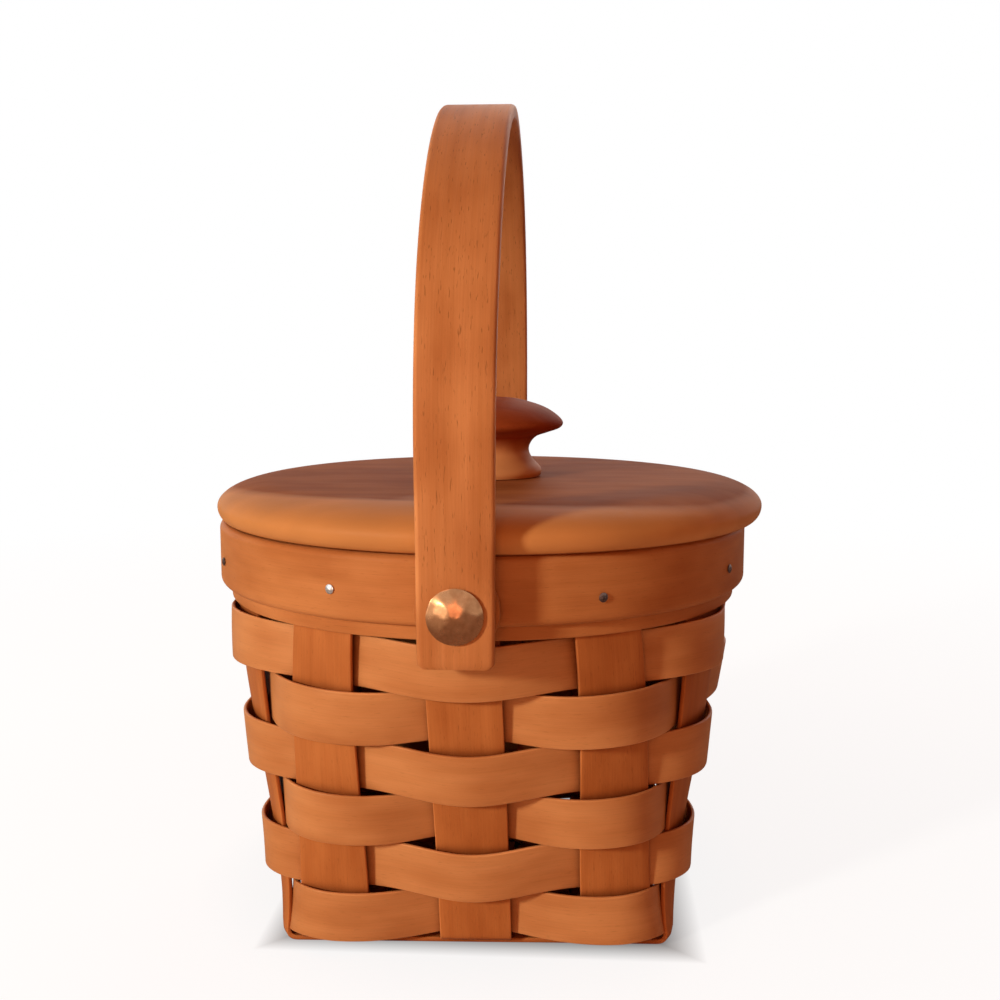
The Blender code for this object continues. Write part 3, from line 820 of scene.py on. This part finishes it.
def disc(name, radius, rise, shank, length, seat, seed, flat_count):
    """A nail or rivet head, domed and hammered with flats, on its shank."""
    rng = random.Random(seed)
    flats = []
    for _ in range(flat_count):
        a, r = rng.uniform(0, math.tau), radius * math.sqrt(rng.uniform(0.0, flat_reach_share))
        flats.append((r * math.cos(a), r * math.sin(a), rng.uniform(0.0, flat_depth_share)))
    slope = -2 * dome_share * rise / radius**2

    def dome(x, y):
        return rise * (1.0 - (x * x + y * y) / radius**2 * dome_share)

    def height(x, y):
        """The lowest of the dome and the flats. A flat is the dome's tangent plane, sunk a little."""
        planes = [
            dome(fx, fy) - rise * drop + slope * (fx * (x - fx) + fy * (y - fy)) for fx, fy, drop in flats
        ]
        return min(dome(x, y), *planes)

    turns = [math.tau * j / disc_steps for j in range(disc_steps)]
    verts = [Vector((0.0, 0.0, seat + height(0.0, 0.0)))]
    for i in range(1, disc_rings + 1):
        r = radius * math.sin(math.pi / 2 * (i / disc_rings))
        for a in turns:
            x, y = r * math.cos(a), r * math.sin(a)
            verts.append(Vector((x, y, seat + max(height(x, y), rise * lip_share))))
    lower_rings = (
        (radius * lip_radius_share, seat + rise * lip_foot_share), (radius * seat_radius_share, seat),
        (shank, seat), (shank, -length),
    )
    verts += [Vector((r * math.cos(a), r * math.sin(a), z)) for r, z in lower_rings for a in turns]
    verts.append(Vector((0.0, 0.0, -length)))
    faces = [(0, 1 + j, 1 + (j + 1) % disc_steps) for j in range(disc_steps)]
    last_ring = disc_rings + len(lower_rings) - 1
    for i in range(last_ring):
        a, b = 1 + i * disc_steps, 1 + (i + 1) * disc_steps
        for j in range(disc_steps):
            k = (j + 1) % disc_steps
            faces.append((a + j, b + j, b + k, a + k))
    last = 1 + last_ring * disc_steps
    faces += [(last + (j + 1) % disc_steps, last + j, len(verts) - 1) for j in range(disc_steps)]
    grain, edge = np.zeros((len(verts), 3)), np.zeros(len(verts))
    return finish_mesh(name, verts, turned_outward(verts, faces), grain, edge, disc_sharp_deg)


nail_length = rim_radius - inner_band_inner
for number, (angle_deg, height_share) in enumerate(zip(nail_angles_deg, nail_height_shares), 1):
    obj = disc(
        f"nail_{number}", nail_head_radius, nail_head_rise, nail_shank_radius, nail_length, clearance,
        seed=69 + number, flat_count=4,
    )
    nail_height = band_low + (band_high - band_low) * height_share
    obj.matrix_world = outward_matrix(rim_radius, nail_height, angle_deg)
    place(obj, "basket", [f"rim_nail_{number}"], "steel", steel if number == bright_nail else aged_steel)


# Handle


def arch_path():
    """The strap's middle line as (y, z), from the front foot up to the crown."""
    rise = arch_rise - strap_thickness / 2
    widest = leg_middle + leg_splay
    foot, straight = hinge_height - foot_drop, hinge_height + foot_drop
    points = [(-leg_middle, z) for z in np.linspace(foot, straight, strap_foot_steps)]
    for i in range(1, strap_side_steps):
        t = i / strap_side_steps
        points.append((-leg_middle - leg_splay * eased(t), straight + (spring_height - straight) * t))
    for i in range(strap_arch_steps + 1):
        angle = math.pi / 2 * i / strap_arch_steps
        y = widest * max(math.cos(angle), 0.0) ** (2.0 / arch_power_out)
        points.append((-y, spring_height + rise * math.sin(angle) ** (2.0 / arch_power_up)))
    return points


front_path = arch_path()
path = front_path + [(-y, z) for y, z in front_path[-2::-1]]
foot = hinge_height - foot_drop
lines = []
for side in np.linspace(-1.0, 1.0, splint_lines):
    line = []
    for y, z in path:
        rise = (z - foot) / (crown_height - foot)
        width = strap_foot_width + (strap_crown_width - strap_foot_width) * rise
        line.append((side * width / 2, y, z))
    lines.append(line)
obj = thick_grid(
    "handle", np.stack(lines, 1), strap_foot_width, strap_thickness, strap_edge_round,
    closed=False, seed=51, wander=strap_wander, end_round=strap_end_round,
)
place(obj, "handle", ["handle_strap"], "handle", handle_wood)

rivet_seat = leg_outer + clearance
rivet_length = rivet_seat - (burr_outer - burr_thickness - clearance) + rivet_tail_rise
spacer_bore = rivet_radius + pin_clearance
r = spacer_edge_round
spacer_profile = [(spacer_bore, spacer_thickness), (spacer_bore, 0.0)]
spacer_profile += arc(spacer_radius - r, r, r, r, -90, 0, spacer_corner_steps)
spacer_profile += arc(spacer_radius - r, spacer_thickness - r, r, r, 0, 90, spacer_corner_steps)
for label, angle_deg in (("front", 0.0), ("back", 180.0)):
    obj = disc(
        f"rivet_{label}", rivet_head_radius, rivet_head_rise, rivet_radius, rivet_length, 0.0,
        seed=90, flat_count=34,
    )
    obj.matrix_world = outward_matrix(rivet_seat, hinge_height, angle_deg)
    place(obj, "handle", [f"handle_rivet_{label}"], "copper", copper)
    obj = lathe(f"spacer_{label}", spacer_profile, steps=64, loop=True, grain_way="board", seed=93)
    obj.matrix_world = outward_matrix(rim_radius + clearance, hinge_height, angle_deg)
    place(obj, "basket", [f"handle_spacer_{label}"], "band", band_wood)


# Lid

lid_place = Matrix.Translation((lid_drift, 0.0, lid_low))
bore = screw_radius + pin_clearance
widest = lid_thickness - lid_top_round_down
top_radii = (bore, *lid_face_rings, lid_radius - lid_top_round_in - lid_top_ease)
profile = [(r, lid_thickness) for r in top_radii]
profile += arc(
    lid_radius - lid_top_round_in, widest, lid_top_round_in, lid_top_round_down,
    lid_top_start_deg, 0, lid_top_steps,
)
profile += arc(
    lid_radius - lid_bottom_round_in, widest, lid_bottom_round_in, widest, 0, -90, lid_bottom_steps
)[1:]
profile += [(lid_face_rings[-1], 0.0), (bore, 0.0)]


def lid_lit_rim_share(r, angle, z):
    """Painted light: the rim is painted paler than the top, where the key light falls. The pale part is
    widest a little left of the front, towards the key light.
    """
    off = abs((angle + lid_lit_turn + math.pi) % math.tau - math.pi)
    reach = lid_lit_reach + lid_lit_retreat * min(off / lid_lit_spread, 1.0)
    return min(max((r - reach) / lid_lit_fade, 0.0), 1.0) if z > lid_underside else 0.0


obj = lathe("lid_disc", profile, steps=192, loop=True, grain_way="board", seed=61, lit_share=lid_lit_rim_share)
obj.matrix_world = lid_place
place(obj, "lid", ["lid_board"], "lid", lid_wood)

knob_seat = lid_thickness + clearance
screw_end = knob_seat + screw_in_knob + pin_clearance
knob_points = [(r * knob_radius, knob_seat + z * knob_height) for r, z in knob_outline_shares]
profile = smooth_path(knob_points, knob_piece_steps)
profile += [(bore, knob_seat), (bore, screw_end), (0.0, screw_end)]


def knob_neck_light_share(r, angle, z):
    """Painted light: the knob's neck, which the cap shades, is painted paler than the cap."""
    return min(max((knob_seat + knob_neck_height - z) / knob_neck_light_fade, 0.0), 1.0)


obj = lathe("knob", profile, steps=96, loop=False, grain_way="board", seed=62, lit_share=knob_neck_light_share)
obj.matrix_world = lid_place
place(obj, "lid", ["lid_knob"], "knob", knob_wood)

# Solids that stay as they are and get a finish
plain_wood = wood("plain_wood", (0.38, 0.104, 0.020), (0.58, 0.200, 0.046), from_object=True)
for name, material in (
    ("lid_plug", plain_wood), ("rivet_burr_front", copper), ("rivet_burr_back", copper), ("lid_screw", steel),
):
    for material_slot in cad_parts[name].material_slots:
        material_slot.material = material


# Floor, light and camera

floor_half = 3.0
floor_reach = 2.0
floor_grey = (0.80, 0.80, 0.80, 1.0)
# How far out of the base a place is, by axis, slope and start: left, front, right, back. The greatest holds.
# The painted shadow reaches farther behind and to the right, where the basket's shadow falls.
base_shadow_sides = (("X", -1.0, 0.0040), ("Y", -1.0, 0.0025), ("X", 0.9, 0.0045), ("Y", 0.5, 0.0295))
# Greys by a length: from the base's edge, a painted shadow that blacks out the camera's white under the base,
# and twice by the distance from the basket's axis
base_shadow_stops = ((0.0600, 0.0), (0.0655, 1.0))
far_stops = ((0.10, 0.88), (0.30, 0.91), (0.90, 1.0))
shade_stops = ((0.060, 0.08), (0.100, 0.22), (0.30, 0.22), (0.90, 0.0))
air_colour = (1.0, 0.27, 0.12, 1.0)
air_strength = 0.15
lamp_target = Vector((0.0, 0.0, 0.11))
# The camera as it was fitted to the photo
camera_distance = 0.42444
camera_height = 0.18605
camera_azimuth = math.radians(4.5)
camera_yaw = math.radians(0.79)
camera_pitch = math.radians(7.30)
camera_clip = 0.01
focal_px = 1237.33
picture_px = 1000.0
sensor_mm = 36.0


def floor_look():
    """A grey floor for the light. The camera sees it white, with soft shade, and a painted shadow that is
    black under the base and fades out just round it.
    """
    material, tree, shader = new_material("floor")
    feed(tree, shader, {"Base Color": floor_grey, "Roughness": 0.9, "Specular IOR Level": 0.0})
    spot = node(tree, "ShaderNodeTexCoord", {}).outputs["Object"]
    axes = node(tree, "ShaderNodeSeparateXYZ", {0: spot}).outputs
    distance = node(tree, "ShaderNodeVectorMath", {0: spot}, operation="LENGTH").outputs["Value"]
    from_base = 0.0
    for axis, slope, start in base_shadow_sides:
        side = result(tree, "MULTIPLY_ADD", axes[axis], slope, start)
        from_base = result(tree, "MAXIMUM", from_base, side)

    def grey(length, stops):
        share = node(tree, "ShaderNodeMapRange", {"Value": length, "From Max": floor_reach}).outputs[0]
        return ramp(tree, share, [(at / floor_reach, value) for at, value in stops])

    # Painted shadow: the camera's white is multiplied by black under the base, fading out just round it
    white = mix(tree, "MULTIPLY", 1.0, grey(from_base, base_shadow_stops), grey(distance, far_stops))
    glow = node(tree, "ShaderNodeEmission", {"Color": white, "Strength": 1.0}).outputs[0]
    shade = node(tree, "ShaderNodeBsdfDiffuse", {"Color": grey(distance, shade_stops)}).outputs[0]
    seen = node(tree, "ShaderNodeAddShader", {0: glow, 1: shade}).outputs[0]
    camera_ray = node(tree, "ShaderNodeLightPath", {}).outputs["Is Camera Ray"]
    look = node(tree, "ShaderNodeMixShader", {0: camera_ray, 1: shader.outputs[0], 2: seen}).outputs[0]
    feed(tree, tree.nodes["Material Output"], {"Surface": look})
    return material


def studio_world():
    """Warm light from all round, behind a plain white that the camera and shiny surfaces see."""
    world = bpy.data.worlds.new("studio")
    world.use_nodes = True
    tree = world.node_tree
    air = tree.nodes["Background"]
    feed(tree, air, {"Color": air_colour, "Strength": air_strength})
    white = node(tree, "ShaderNodeBackground", {"Color": (*plain_white, 1.0), "Strength": 1.0}).outputs[0]
    rays = node(tree, "ShaderNodeLightPath", {}).outputs
    seen = result(tree, "MAXIMUM", rays["Is Camera Ray"], rays["Is Glossy Ray"])
    seen = result(tree, "MAXIMUM", seen, rays["Is Transmission Ray"])
    sky = node(tree, "ShaderNodeMixShader", {0: seen, 1: air.outputs[0], 2: white}).outputs[0]
    feed(tree, tree.nodes["World Output"], {"Surface": sky})
    return world


def area_lamp(name, azimuth_deg, elevation_deg, distance, size, power, colour):
    """A round lamp turned to the basket. Azimuth 0 is the front (-Y), positive towards +X."""
    data = bpy.data.lights.new(name, "AREA")
    data.shape = "DISK"
    data.size = size
    data.energy = power
    data.color = colour
    obj = bpy.data.objects.new(name, data)
    bpy.context.scene.collection.objects.link(obj)
    a, e = math.radians(azimuth_deg), math.radians(elevation_deg)
    way = Vector((math.sin(a) * math.cos(e), -math.cos(a) * math.cos(e), math.sin(e)))
    obj.location = lamp_target + way * distance
    obj.rotation_euler = way.to_track_quat("Z", "Y").to_euler()
    obj.visible_camera = False


floor_mesh = bpy.data.meshes.new("floor")
corners = [(x * floor_half, y * floor_half, 0) for x, y in ((-1, -1), (1, -1), (1, 1), (-1, 1))]
floor_mesh.from_pydata(corners, [], [(0, 1, 2, 3)])
floor = bpy.data.objects.new("floor", floor_mesh)
bpy.context.scene.collection.objects.link(floor)
floor_mesh.materials.append(floor_look())

bpy.context.scene.world = studio_world()
area_lamp("key", -44.0, 15.0, distance=1.3, size=0.16, power=10.6, colour=(1.0, 0.99, 0.90))
area_lamp("fill", -2.0, 12.0, distance=1.6, size=0.9, power=4.6, colour=(1.0, 0.39, 0.16))
area_lamp("back", 165.0, 35.0, distance=1.6, size=1.0, power=5.0, colour=(1.0, 0.84, 0.70))

camera_data = bpy.data.cameras.new("camera")
camera_data.sensor_width = sensor_mm
camera_data.lens = focal_px / picture_px * sensor_mm
camera_data.clip_start = camera_clip
camera = bpy.data.objects.new("camera", camera_data)
bpy.context.scene.collection.objects.link(camera)
away = Vector((math.sin(camera_azimuth), -math.cos(camera_azimuth), 0.0))
camera.location = away * camera_distance + axis_z * camera_height
heading = camera_azimuth - camera_yaw
level = math.cos(camera_pitch)
forward = Vector((-math.sin(heading) * level, math.cos(heading) * level, -math.sin(camera_pitch)))
camera.rotation_euler = (-forward).to_track_quat("Z", "Y").to_euler()
bpy.context.scene.camera = camera

bpy.context.scene.view_settings.view_transform = "Standard"
